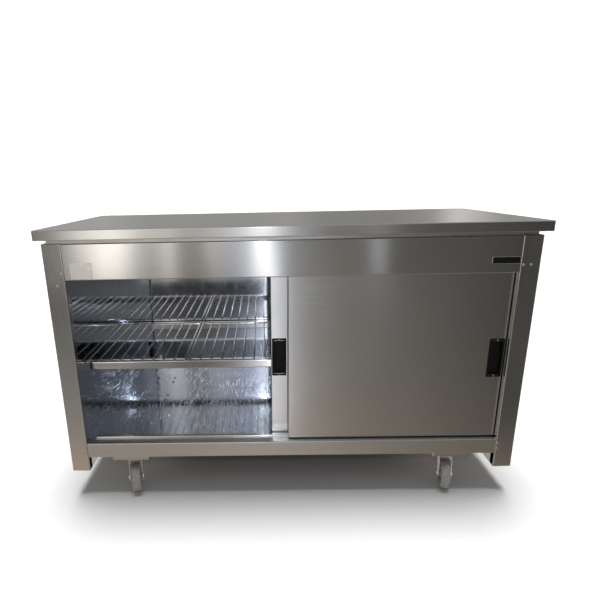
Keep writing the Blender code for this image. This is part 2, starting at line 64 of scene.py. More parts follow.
SHEET = 0.0015  # gauge of the cabinet's folded sheets
DOOR_SHEET = 0.0012
BEAM_SHEET = 0.003
PLATE = 0.003  # castor plate
GAP = 0.0003  # air left between pieces that only touch
HOLD = 0.0004  # flat margin kept beside each rounded bend
SHARP = math.radians(32)  # a fold sharper than this stays an edge when shaded
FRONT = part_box("fascia")[0].y  # plane of the posts, fascia and base rail
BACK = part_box("back_panel")[1].y
FLOOR_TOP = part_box("floor_pan")[1].z
CASTORS = ("front_left", "front_right", "rear_left", "rear_right")
DOORS = ("front_door", "rear_door")
CUP = (0.019, 0.056)  # half width and half height of a door pull's cup
PLATE_BOLTS = [(x, y) for x in (-0.038, 0.038) for y in (-0.0255, 0.0255)]  # from a castor's pin


# Shapes

def unit(vectors):
    """Vectors divided by their length; a zero vector stays zero."""
    length = np.linalg.norm(vectors, axis=-1, keepdims=True)
    return vectors / np.where(length > 1e-12, length, 1)


def rounded(path, radius, steps=4, closed=False):
    """A polyline whose corners are replaced by arcs tangent to both sides.

    With half-angle h at a corner, the arc's centre is radius / sin(h) along the bisector and the
    arc starts radius / tan(h) from the corner. Points on it are its end radii, blended by
    spherical interpolation. A point a little outside each arc end keeps the flats flat.
    """
    path = np.asarray(path, float)
    corner = path if closed else path[1:-1]
    back = (np.roll(path, 1, 0) if closed else path)[: len(corner)] - corner
    onward = (np.roll(path, -1, 0) if closed else path[2:]) - corner
    before, after = unit(back), unit(onward)
    radius = np.broadcast_to(np.asarray(radius, float), len(corner))[:, None]
    half = np.arccos(np.clip((before * after).sum(-1, keepdims=True), -1, 1)) / 2
    half = np.clip(half, 1e-3, math.pi / 2 - 1e-3)
    centre = corner + unit(before + after) * radius / np.sin(half)
    reach = radius / np.tan(half)
    first, last = corner + before * reach - centre, corner + after * reach - centre
    turn = (math.pi - 2 * half)[:, None]
    share = np.linspace(0, 1, steps + 1)[None, :, None]
    arc = (np.sin((1 - share) * turn) * first[:, None] + np.sin(share * turn) * last[:, None])
    arc = centre[:, None] + arc / np.sin(turn)
    behind, ahead = np.roll(reach, 1, 0), np.roll(reach, -1, 0)
    if not closed:
        behind[0], ahead[-1] = 0, 0

    def hold(way, side, beyond):
        """The point HOLD past an arc's end, or nearer where the flat between two arcs is short."""
        room = np.linalg.norm(side, axis=-1, keepdims=True) - reach - beyond
        return (corner + way * (reach + np.clip(0.4 * room, 0, HOLD)))[:, None]

    points = np.concatenate([hold(before, back, behind), arc, hold(after, onward, ahead)], 1)
    points = points.reshape(-1, path.shape[-1])
    return points if closed else np.vstack([path[:1], points, path[-1:]])


def beside(path, distance):
    """A 2D polyline moved to its right by a distance, with mitred corners."""
    ways = unit(np.diff(path, axis=0))
    rights = np.stack([ways[:, 1], -ways[:, 0]], -1)
    first, second = np.vstack([rights[:1], rights]), np.vstack([rights, rights[-1:]])
    return path + distance * (first + second) / (1 + (first * second).sum(-1, keepdims=True))


def rectangle(low, high, corner, steps=4):
    """A rounded rectangle between two 2D corners, run round once."""
    (x0, y0), (x1, y1) = low, high
    return rounded([(x0, y0), (x1, y0), (x1, y1), (x0, y1)], corner, steps, closed=True)


def at(points, along, value):
    """2D points given their third coordinate, along X, Y or Z."""
    return np.insert(points, "XYZ".index(along), value, axis=-1)


def loft(rings, closed=False):
    """Closed shell through rings of points, a quad between points i and i + 1 of two rings.

    The end rings are capped, or joined to each other where the rings close on themselves. Faces
    are turned outward by the sign of the enclosed volume, the sum of a . (b x c) over triangles.
    """
    rings = np.asarray(rings, float)
    count, size = rings.shape[:2]
    points = rings.reshape(-1, 3)
    row = np.arange(count if closed else count - 1)[:, None]
    column = np.arange(size)[None]
    here, there, beyond = row * size, (row + 1) % count * size, (column + 1) % size
    quads = np.stack([here + column, here + beyond, there + beyond, there + column], -1).reshape(-1, 4)
    triangles = [quads[:, :3], quads[:, [0, 2, 3]]]
    faces = quads.tolist()
    if not closed:
        fan = np.stack([np.zeros(size - 2, int), np.arange(2, size), np.arange(1, size - 1)], -1)
        triangles += [fan, fan[:, ::-1] + (count - 1) * size]
        faces += [list(range(size))[::-1], list(range((count - 1) * size, count * size))]
    a, b, c = (points[np.concatenate(triangles)[:, i]] - points.mean(0) for i in range(3))
    if np.einsum("ij,ij->", a, np.cross(b, c)) < 0:
        faces = [face[::-1] for face in faces]
    return points, faces


def folded_sheet(path, along, span, radius, thickness=SHEET):
    """A bent sheet carried straight along an axis.

    One face follows the path, the other is a thickness to the path's right, or to its left where
    the thickness is negative. The radius is the bends' inside one; the outside adds the thickness.
    """
    path = np.asarray(path, float)
    ways = np.diff(path, axis=0)
    left_turn = (ways[:-1, 0] * ways[1:, 1] - ways[:-1, 1] * ways[1:, 0]) > 0
    tight = left_turn if thickness > 0 else ~left_turn
    wide = radius + abs(thickness)
    outer = rounded(path, np.where(tight, radius, wide))
    inner = rounded(beside(path, thickness), np.where(tight, wide, radius))
    lines = ((outer, span[0]), (outer, span[1]), (inner, span[1]), (inner, span[0]))
    return loft(np.stack([at(line, along, end) for line, end in lines], 1))


def slab(outline, along, span, edge=0.0004):
    """A closed outline given a thickness along an axis, its rims rounded by quarter arcs.

    Ring k is the outline drawn in by edge * (1 - sin t) at a depth of edge * (1 - cos t).
    """
    outline = np.asarray(outline, float)
    after = np.roll(outline, -1, 0)
    turn = np.sign((outline[:, 0] * after[:, 1] - outline[:, 1] * after[:, 0]).sum())
    wrapped = np.vstack([outline[-1:], outline, outline[:1]])
    t = np.linspace(0, math.pi / 2, 4)
    inset = np.concatenate([[2 * edge], edge * (1 - np.sin(t))])
    depth = np.concatenate([[0], edge * (1 - np.cos(t))])
    insets = np.concatenate([inset, inset[::-1]])
    levels = np.concatenate([span[0] + depth, span[1] - depth[::-1]])
    return loft([at(beside(wrapped, -turn * d)[1:-1], along, h) for d, h in zip(insets, levels)])


def basis(axis):
    """Two vectors square to an axis, and the axis."""
    axis = unit(np.asarray(axis, float))
    side = unit(np.cross(axis, (0.0, 0.0, 1.0) if abs(axis[2]) < 0.9 else (1.0, 0.0, 0.0)))
    return side, np.cross(axis, side), axis


def turned(profile, centre, axis, segments=32, closed=False, wave=0.0, lobes=0):
    """A profile of (height, radius) turned about an axis.

    At angle a the radius is taken times 1 + wave * cos(lobes * a), which flutes a knob.
    """
    side, up, axis = basis(axis)
    angle = np.arange(segments) / segments * math.tau
    height, radius = np.asarray(profile, float).T
    radius = np.maximum(radius, 1e-5)[:, None] * (1 + wave * np.cos(lobes * angle))[None]
    ring = np.cos(angle)[:, None] * side + np.sin(angle)[:, None] * up
    rings = np.asarray(centre, float) + height[:, None, None] * axis + radius[..., None] * ring
    return loft(rings, closed)


def placed(shell, origin, axes):
    """A shell moved to an origin and onto axes, whose rows say where its X, Y and Z then point."""
    points, faces = shell
    if np.linalg.det(axes) < 0:
        faces = [face[::-1] for face in faces]
    return origin + points @ axes, faces


def wire(start, end, radius, segments):
    """A straight round wire with half-round ends: the ends follow a quarter circle."""
    start, end = np.asarray(start, float), np.asarray(end, float)
    length = np.linalg.norm(end - start)
    t = np.linspace(0.12, math.pi / 2, 4)
    nose = np.stack([radius * (1 - np.cos(t)), radius * np.sin(t)], -1)
    tail = np.stack([length - nose[::-1, 0], nose[::-1, 1]], -1)
    return turned(np.vstack([nose, tail]), start, end - start, segments)


def dome(centre, axis, radius, height, dimple=0.0):
    """A rivet or screw head: a low dome on a short rim, with a small dished middle where it has one."""
    t = np.linspace(0, math.pi / 2, 6)
    rise = np.stack([height * (0.25 + 0.75 * np.sin(t)), radius * np.cos(t * 0.82)], -1)
    profile = [(0, radius), *rise]
    if dimple:
        profile += [(height * 0.92, dimple), (height * 0.45, dimple * 0.75)]
    return turned(profile, centre, axis, 20)


def hexagon(centre, axis, flats, height, bore=0.0):
    """A nut: a six-sided ring, its corners eased where it meets its faces."""
    edge = flats / 2 / math.cos(math.pi / 6)
    ease = 0.08 * flats
    profile = [(0, edge - ease), (ease / 2, edge), (height - ease / 2, edge), (height, edge - ease)]
    if bore:
        return turned(profile + [(height, bore), (0, bore)], centre, axis, 6, closed=True)
    return turned(profile, centre, axis, 6)


def piece(name, shells, finish, body, stands_for=()):
    """One named object made of closed shells, with its finish, riding on a body."""
    faces, start = [], 0
    for points, polygons in shells:
        faces += [[corner + start for corner in polygon] for polygon in polygons]
        start += len(points)
    mesh = bpy.data.meshes.new(name)
    mesh.from_pydata(np.concatenate([points for points, _ in shells]).tolist(), [], faces)
    mesh.update()
    mesh.shade_smooth()
    mesh.set_sharp_from_angle(angle=SHARP)
    mesh.materials.append(bpy.data.materials[finish])
    made = bpy.data.objects.new(name, mesh)
    bpy.context.scene.collection.objects.link(made)
    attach(made, body)
    if stands_for:
        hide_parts(*stands_for)


def sheet_run(name, path, radius, finish="satin_stainless_front"):
    """The folded sheet of a cabinet node that runs straight along X."""
    low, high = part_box(name)
    shell = folded_sheet(path, "X", (low.x, high.x), radius)
    piece(f"{name}_sheet", [shell], finish, "cabinet", [name])


# Finishes

def linear(hex_code):
    """Linear RGBA of an sRGB hex colour."""
    srgb = np.array([int(hex_code[i : i + 2], 16) for i in (1, 3, 5)]) / 255
    rgb = np.where(srgb <= 0.04045, srgb / 12.92, ((srgb + 0.055) / 1.055) ** 2.4)
    return (*rgb.tolist(), 1.0)


def add_node(tree, kind, inputs=(), out=0, stops=(), **settings):
    """Adds a node, sets its properties, sets or links its sockets, and gives one of its outputs.

    Sockets go by name or number; stops are a colour ramp's (position, level or colour) pairs.
    """
    made = tree.nodes.new("ShaderNode" + kind)
    for key, value in settings.items():
        setattr(made, key, value)
    for key, value in inputs.items() if isinstance(inputs, dict) else enumerate(inputs):
        if isinstance(value, bpy.types.NodeSocket):
            tree.links.new(value, made.inputs[key])
        else:
            made.inputs[key].default_value = value
    for number, (position, colour) in enumerate(stops):
        elements = made.color_ramp.elements
        element = elements[number] if number < len(elements) else elements.new(position)
        element.position = position
        element.color = colour if hasattr(colour, "__len__") else (colour, colour, colour, 1)
    return made.outputs[out] if made.outputs else made


def start_finish(name, colour, roughness, metallic=0.0, **sockets):
    """A new material's node maker, link maker, Principled shader sockets and Object coordinates."""
    made = bpy.data.materials.new(name)
    made.use_nodes = True
    tree = made.node_tree
    shader = tree.nodes["Principled BSDF"].inputs
    shader["Base Color"].default_value = colour
    shader["Roughness"].default_value = roughness
    shader["Metallic"].default_value = metallic
    for key, value in sockets.items():
        shader[key.replace("_", " ")].default_value = value
    node = partial(add_node, tree)
    return node, tree.links.new, shader, node("TexCoord", out="Object")


def darker(colour, share):
    """A colour taken down by a share."""
    return (*(c * (1 - share) for c in colour[:3]), 1)


def brushed_sheet(name, colour, roughness, grain, across, anisotropy, wave, streak=0.5, scuffs=0.0):
    """Satin stainless sheet: drawn along one axis, so that highlights spread across its grain.

    grain is the stretch of the noise per axis (small along the grain), across the direction that
    highlights spread in. Real grain is some 0.1 mm wide; it is drawn 2 to 4 mm wide, to show.
    """
    node, link, shader, place = start_finish(name, colour, roughness, 1.0, Anisotropic=anisotropy)
    drawn = node("Mapping", {"Vector": place, "Scale": grain})
    lines = node("TexNoise", {"Vector": drawn, "Scale": 300, "Detail": 3, "Roughness": 0.6})
    patches = node("TexNoise", {"Vector": place, "Scale": 9, "Detail": 3, "Roughness": 0.55})
    line_tone = node("MapRange", [lines, 0.3, 0.7, -0.03 * streak, 0.03 * streak])
    patch_tone = node("MapRange", [patches, 0.3, 0.7, roughness - 0.015, roughness + 0.015])
    rough = node("Math", [line_tone, patch_tone], operation="ADD")
    light = node("MapRange", [lines, 0.25, 0.75, 0, 1])
    shade = node("Mix", {0: light, 6: darker(colour, 0.1 * streak), 7: colour}, 2, data_type="RGBA")
    if scuffs:
        # wiping and knocks leave slanting hairlines in places, 5 mm wide and 20 cm long
        slant = {"Vector": place, "Scale": (0.3, 1.0, 12.0), "Rotation": (0.0, 0.75, 0.0)}
        slanted = node("Mapping", slant, vector_type="TEXTURE")
        hair = node("TexNoise", {"Vector": slanted, "Scale": 60, "Detail": 2, "Roughness": 0.6})
        worn = node("TexNoise", {"Vector": place, "Scale": 4, "Detail": 1})
        where = node("MapRange", [worn, 0.42, 0.60, 0, scuffs])
        scuff = node("Math", [node("MapRange", [hair, 0.60, 0.68, 0, 1]), where], operation="MULTIPLY")
        rough = node("Math", [rough, scuff], operation="ADD")
    link(shade, shader["Base Color"])
    link(rough, shader["Roughness"])
    link(node("CombineXYZ", across), shader["Tangent"])
    swell = node("TexNoise", {"Vector": place, "Scale": 3.2, "Detail": 1, "Roughness": 0.4})
    link(node("Bump", {"Height": swell, "Strength": wave, "Distance": 0.02}), shader["Normal"])


def mirror_sheet(name, colour, roughness, wave, scratched=0.0):
    """Bright-annealed stainless: almost a mirror, gently dished between its fixings and hazed by wiping."""
    node, link, shader, place = start_finish(name, colour, roughness, 1.0)
    haze = node("TexNoise", {"Vector": place, "Scale": 14, "Detail": 4, "Roughness": 0.65})
    wiped = node("Mapping", {"Vector": place, "Scale": (1.0, 0.4, 0.3), "Rotation": (0.2, 0.5, 0.1)})
    smears = node("TexNoise", {"Vector": wiped, "Scale": 38, "Detail": 3})
    rough = node("Math", [
        node("MapRange", [haze, 0.35, 0.7, roughness * 0.7, roughness * 1.9]),
        node("MapRange", [smears, 0.5, 0.8, 0, 0.02]),
    ], operation="ADD")
    swell = node("TexNoise", {"Vector": place, "Scale": 4.0, "Detail": 1, "Roughness": 0.3})
    normal = node("Bump", {"Height": swell, "Strength": wave, "Distance": 0.02})
    if scratched:
        # pans slid in and out leave hair-fine scratches front to back, drawn 1 to 2 mm wide to show; the same
        # mask roughens and dents them, and also paints them near white as a painted glint
        cuts = []
        for scale, turn, start in ((240, 0.10, 0.58), (200, -0.22, 0.60)):
            long = {"Vector": place, "Scale": (1.0, 22.0, 1.0), "Rotation": (0, 0, turn)}
            run = node("Mapping", long, vector_type="TEXTURE")
            hair = node("TexNoise", {"Vector": run, "Scale": scale, "Detail": 2, "Roughness": 0.6})
            cuts.append(node("MapRange", [hair, start, start + 0.08, 0, 1]))
        worn = node("TexNoise", {"Vector": place, "Scale": 4.5, "Detail": 2})
        where = node("MapRange", [worn, 0.36, 0.58, 0.25, 1])
        scratch_and_glint = node("Math", [node("Math", cuts, operation="MAXIMUM"), where], operation="MULTIPLY")
        rough = node("Math", [scratch_and_glint, scratched, rough], operation="MULTIPLY_ADD")
        normal = node("Bump", {"Height": scratch_and_glint, "Strength": 0.2, "Distance": 0.0008, "Normal": normal})
        # painted glint: the scratch lines are painted near white, and the floor between them 15 per cent darker
        # than the lining's colour, so the scratches look as if they catch the light
        shade = node("Mix", {0: scratch_and_glint, 6: darker(colour, 0.15), 7: (1, 1, 1, 1)}, 2, data_type="RGBA")
        link(shade, shader["Base Color"])
    link(rough, shader["Roughness"])
    link(normal, shader["Normal"])


def cloudy(name, colour, roughness, metallic, scale, grain, mottle, bump, **sockets):
    """Plated or mill metal, moulded plastic, rubber: cloudy in tone and gloss, finely textured."""
    node, link, shader, place = start_finish(name, colour, roughness, metallic, **sockets)
    cloud = node("TexNoise", {"Vector": place, "Scale": scale, "Detail": 4, "Roughness": 0.65})
    fine = node("TexNoise", {"Vector": place, "Scale": grain, "Detail": 2})
    light = node("MapRange", [cloud, 0.3, 0.7, 0, 1])
    shade = node("Mix", {0: light, 6: darker(colour, mottle), 7: colour}, 2, data_type="RGBA")
    link(shade, shader["Base Color"])
    link(node("MapRange", [cloud, 0.3, 0.7, roughness * 0.8, roughness * 1.2]), shader["Roughness"])
    link(node("Bump", {"Height": fine, "Strength": bump, "Distance": 0.0004}), shader["Normal"])


# Settings

def colour_setting(name, description, default):
    """A colour, its default given as sRGB hex."""
    return bpy.props.FloatVectorProperty(
        name=name, description=description, subtype="COLOR", size=4, min=0, max=1, default=linear(default)
    )


def number_setting(name, description, low, high, default, **more):
    """A number with its limits."""
    return bpy.props.FloatProperty(
        name=name, description=description, min=low, max=high, default=default, **more
    )


length_setting = partial(number_setting, subtype="DISTANCE", unit="LENGTH")


class CabinetFinishSettings(bpy.types.PropertyGroup):
    """Colours of the cabinet's materials."""

    steel: colour_setting("Satin stainless", "Colour of the brushed sheets", "#D4D2CE")
    mirror: colour_setting("Bright stainless", "Colour of the cavity's polished sheets", "#CDD1D8")
    zinc: colour_setting("Zinc plate", "Colour of plated fittings", "#E6E2DC")
    tread: colour_setting("Castor tread", "Colour of the grey wheels", "#A6A39E")
    pull: colour_setting("Black plastic", "Colour of pulls and controls", "#0E0D0E")


class CabinetSheetSettings(bpy.types.PropertyGroup):
    """Sizes of the sheet work's edges."""

    bend: length_setting("Bend radius", "Inside radius of the folds", 0.0005, 0.006, 0.0015)
    worktop_edge: length_setting("Worktop edge", "Radius where the worktop turns down", 0.001, 0.008, 0.0030)
    door_edge: length_setting("Door edge", "Radius of the doors' folded edges", 0.0005, 0.004, 0.0020)


class CabinetFittingSettings(bpy.types.PropertyGroup):
    """Sizes of wires and fixings."""

    wire_radius: length_setting("Wire radius", "Radius of the shelf wires", 0.001, 0.003, 0.0025)
    rivet_radius: length_setting("Rivet radius", "Radius of a rivet's head", 0.002, 0.006, 0.0042)
    tread_radius: length_setting("Castor wheel radius", "Radius over the tread", 0.03, 0.06, 0.050)


class CabinetStageSettings(bpy.types.PropertyGroup):
    """Camera and light."""

    lens: number_setting("Lens", "Focal length in millimetres", 15, 100, 29.873)
    fill: number_setting("Fill light", "Strength of the soft light from above", 0, 5, 1.0)
    flash: number_setting("Flash", "Power of the small light by the camera", 0, 200, 1.5, unit="POWER")


# Steps

class CABINET_OT_finishes(bpy.types.Operator):
    """Makes the materials and gives the CAD nodes that stay in view theirs"""

    bl_idname = "cabinet.finishes"
    bl_label = "Finishes"

    def execute(self, context):
        colours = context.scene.cabinet_finish
        steel, mirror = tuple(colours.steel), tuple(colours.mirror)
        along_x, along_z = (0.02, 1.0, 1.0), (1.0, 1.0, 0.02)
        # No. 4 satin 304 stainless, drawn along its length: soft streaked reflections
        brushed_sheet("satin_stainless_front", steel, 0.14, along_x, (0, 1, 1), 0.95, 0.05)
        brushed_sheet("satin_stainless_door", steel, 0.20, along_x, (0, 0, 1), 0.80, 0.05, scuffs=0.025)
        brushed_sheet("satin_stainless_post", steel, 0.17, along_z, (1, 1, 0), 0.35, 0.06)
        brushed_sheet("satin_stainless_top", steel, 0.20, along_x, (0, 1, 1), 0.70, 0.06)
        # the base rail is kicked and mopped: duller, so its reflections run together
        brushed_sheet("satin_stainless_rail", steel, 0.33, along_x, (0, 1, 1), 0.30, 0.05, 0.8)
        # bright-annealed 430 stainless lining: near mirror, dished, wiped
        mirror_sheet("bright_stainless_wall", mirror, 0.04, 0.03)
        mirror_sheet("bright_stainless_floor", mirror, 0.06, 0.03, scratched=0.25)
        # hot-rolled steel, dull and dark, out of sight
        cloudy("mill_steel", linear("#5E5C59"), 0.5, 1.0, 60, 600, 0.35, 0.2)
        # bright zinc on the castors and screws, nickel on the welded wires
        cloudy("zinc_plate", tuple(colours.zinc), 0.28, 1.0, 120, 900, 0.18, 0.08)
        cloudy("nickel_wire", linear("#FBF9F5"), 0.22, 1.0, 160, 900, 0.08, 0.05)
        cloudy("grey_tread_rubber", tuple(colours.tread), 0.5, 0.0, 60, 700, 0.15, 0.2)
        cloudy("white_nylon", linear("#DAD7D0"), 0.4, 0.0, 60, 900, 0.08, 0.15)
        cloudy("black_abs", tuple(colours.pull), 0.42, 0.0, 60, 1100, 0.15, 0.1, Specular_IOR_Level=0.25)
        cloudy("mineral_wool_slab", linear("#B39A5C"), 0.95, 0.0, 60, 300, 0.35, 0.9)
        cloudy("silver_foil", linear("#F4F2EE"), 0.30, 1.0, 40, 400, 0.04, 0.015)
        cloudy("white_print", linear("#D8D6D2"), 0.5, 0.0, 60, 900, 0.05, 0.1)
        named = {
            "satin_stainless_front": ("door_track",),
            "satin_stainless_rail": ("top_frame", "castor_beam_left", "castor_beam_right"),
            "satin_stainless_post": ("back_panel",),
            "satin_stainless_door": ("front_door_inner_pan", "rear_door_inner_pan"),
            "bright_stainless_wall": ("side_liner_left", "side_liner_right", "back_liner", "ceiling_liner"),
            "bright_stainless_floor": ("floor_pan",),
            "mill_steel": ("heating_element", "element_tray"),
            "zinc_plate": ("front_door_hanger", "rear_door_hanger"),
            "white_nylon": [f"{door}_roller_{end}" for door in DOORS for end in ("left", "right")],
            "black_abs": ("thermostat",),
            "mineral_wool_slab": ("insulation_wrap", "insulation_ceiling"),
        }
        for finish, nodes in named.items():
            for node in nodes:
                mesh = frame["nodes"][node].data
                mesh.materials.clear()
                mesh.materials.append(bpy.data.materials[finish])
        return {"FINISHED"}


class CABINET_OT_worktop(bpy.types.Operator):
    """Sheet worktop with a rounded, turned-down and returned edge"""

    bl_idname = "cabinet.worktop"
    bl_label = "Worktop"

    def execute(self, context):
        low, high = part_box("worktop")
        edge = context.scene.cabinet_sheet.worktop_edge
        lip = 0.015  # the edge's inward return
        flat = 0.05  # where the profile stops and the flat top and underside begin
        path = [
            (flat, high.z), (0, high.z), (0, low.z), (lip, low.z), (lip, low.z + SHEET),
            (SHEET, low.z + SHEET), (SHEET, high.z - SHEET), (flat, high.z - SHEET),
        ]
        profile = rounded(path, [edge, 0.0015, 0.0004, 0.0004, 0.0008, edge - SHEET])
        rings = [
            at(rectangle((low.x + d, low.y + d), (high.x - d, high.y - d), max(0.0035 - d, 0.0004)), "Z", z)
            for d, z in profile
        ]
        shell = loft(rings)
        piece("worktop_sheet", [shell], "satin_stainless_top", "cabinet", ["worktop"])
        return {"FINISHED"}


class CABINET_OT_shell(bpy.types.Operator):
    """End panels with their posts and closed feet, fascia and base rails, all folded sheet"""

    bl_idname = "cabinet.shell"
    bl_label = "Shell"

    def execute(self, context):
        bend = context.scene.cabinet_sheet.bend
        foot_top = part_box("floor_pan")[0].z
        for side, name in ((-1, "left"), (1, "right")):
            low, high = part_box(f"end_panel_{name}")
            outer, inner = (low.x, high.x) if side < 0 else (high.x, low.x)
            # the post turns back 24 mm inside; its face is dressed back a hair at the outer edge
            section = [(inner, FRONT + 0.024), (inner, FRONT), (outer, FRONT + 0.0016)]
            section += [(outer, BACK), (inner, BACK)]
            skin = folded_sheet(section, "Z", (low.z, high.z), bend, -side * SHEET)
            within = outer - side * (SHEET + GAP)
            foot = [(within, foot_top), (within, low.z + GAP), (inner, low.z + GAP), (inner, foot_top)]
            sole = folded_sheet(foot, "Y", (FRONT + SHEET, BACK - SHEET), bend, side * SHEET)
            node = f"end_panel_{name}"
            piece(f"{node}_sheet", [skin, sole], "satin_stainless_post", "cabinet", [node])

        low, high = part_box("fascia")
        lip = 0.0145  # turned in at the bottom, in front of the doors' hangers
        sheet_run("fascia", [(low.y + lip, low.z), (low.y, low.z), (low.y, high.z), (high.y, high.z)], bend)
        low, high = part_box("base_rail_front")
        flange_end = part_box("door_guide")[0].y - GAP
        path = [(high.y, low.z), (low.y, low.z), (low.y, high.z), (flange_end, high.z)]
        sheet_run("base_rail_front", path, bend, "satin_stainless_rail")
        for name in ("castor_beam_left", "castor_beam_right"):
            # a folded tab closes the beam's open front end, between its web and its flanges
            low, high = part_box(name)
            inset = BEAM_SHEET + GAP
            tab = rectangle((low.x + inset, low.z + inset), (high.x - inset, high.z - GAP), 0.001)
            shell = slab(tab, "Y", (low.y + GAP, low.y + GAP + SHEET), 0.0003)
            piece(f"{name}_end_tab", [shell], "satin_stainless_rail", "cabinet")
        low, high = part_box("base_rail_rear")
        path = [(low.y, high.z), (high.y, high.z), (high.y, low.z), (low.y, low.z)]
        sheet_run("base_rail_rear", path, bend)
        return {"FINISHED"}


class CABINET_OT_cavity(bpy.types.Operator):
    """Shelf rails across the cavity and the doors' bottom guide"""

    bl_idname = "cabinet.cavity"
    bl_label = "Cavity rails"

    def execute(self, context):
        bend = context.scene.cabinet_sheet.bend
        for name in ("shelf_rail_front", "shelf_rail_rear"):
            low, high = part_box(name)
            sheet_run(name, [(high.y, low.z), (low.y, low.z), (low.y, high.z), (high.y, high.z)], bend)
        low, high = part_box("door_guide")
        path = [(low.y, low.z), (low.y, high.z), (high.y, high.z), (high.y, FLOOR_TOP + GAP)]
        sheet_run("door_guide", path, 0.0006)
        return {"FINISHED"}


class CABINET_OT_doors(bpy.types.Operator):
    """Hollow sliding doors' skins, with folded edges, and their flush pulls with screws"""

    bl_idname = "cabinet.doors"
    bl_label = "Doors"

    def execute(self, context):
        edge = context.scene.cabinet_sheet.door_edge
        for door in DOORS:
            low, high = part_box(f"{door}_skin")
            bezel_low, bezel_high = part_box(f"{door}_pull")
            middle, half = (bezel_low + bezel_high) / 2, (bezel_high - bezel_low) / 2
            x, z = CUP[0] + 0.0005, CUP[1] + 0.0005
            hole = rectangle((middle.x - x, middle.z - z), (middle.x + x, middle.z + z), 0.002)
            inside = low.y + DOOR_SHEET
            path = [
                (0.004, low.y), (0, low.y), (0, high.y),
                (DOOR_SHEET, high.y), (DOOR_SHEET, inside), (0.004, inside),
            ]
            profile = rounded(path, [edge, 0.0004, 0.0004, edge - DOOR_SHEET + 0.0004])
            rings = [at(hole, "Y", inside), at(hole, "Y", low.y)]
            for d, y in profile:
                ring = rectangle((low.x + d, low.z + d), (high.x - d, high.z - d), max(0.0025 - d, 0.0004))
                rings.append(at(ring, "Y", y))
            shell = loft(rings, closed=True)
            piece(f"{door}_sheet", [shell], "satin_stainless_door", door, [f"{door}_skin"])

            front, face = bezel_low.y, low.y - GAP
            wall, depth = 0.0015, low.y + 0.0100  # the cup's wall and the front of its bottom
            outside = half.x - CUP[0]
            back = [(outside, depth + wall), (outside, face), (0.0, face)]
            rim = [(0.0, face), (0.0, front), (outside + wall, front), (outside + wall + 0.001, depth)]
            rings = []
            for d, y in np.vstack([back, rounded(rim, [0.0008, 0.0007])[1:]]):
                corners = (bezel_low.x + d, bezel_low.z + d), (bezel_high.x - d, bezel_high.z - d)
                rings.append(at(rectangle(*corners, max(0.0035 - d * 0.3, 0.0012)), "Y", y))
            piece(f"{door}_pull_cup", [loft(rings)], "black_abs", door, [f"{door}_pull"])
            reach = CUP[1] + 0.0035  # from the pull's middle to its screws
            feet = [(middle.x, front, middle.z + end * reach) for end in (-1, 1)]
            screws = [dome(foot, (0, -1, 0), 0.0024, 0.0009, 0.0010) for foot in feet]
            piece(f"{door}_pull_screws", screws, "zinc_plate", door)
        return {"FINISHED"}


class CABINET_OT_wire_shelves(bpy.types.Operator):
    """Welded wire shelves: ten wires front to back on two cross wires"""

    bl_idname = "cabinet.wire_shelves"
    bl_label = "Wire shelves"

    def execute(self, context):
        radius = context.scene.cabinet_fitting.wire_radius
        for name in (f"wire_shelf_{number}" for number in range(1, 5)):
            low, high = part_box(name)
            places = np.linspace(low.x + radius, high.x - radius, 10)
            top, cross = high.z - radius, low.z + radius
            shells = [wire((x, low.y, top), (x, high.y, top), radius, 12) for x in places]
            shells += [wire((low.x, y, cross), (high.x, y, cross), radius, 10) for y in (-0.208, 0.228)]
            piece(f"{name}_wires", shells, "nickel_wire", name, [name])
        return {"FINISHED"}


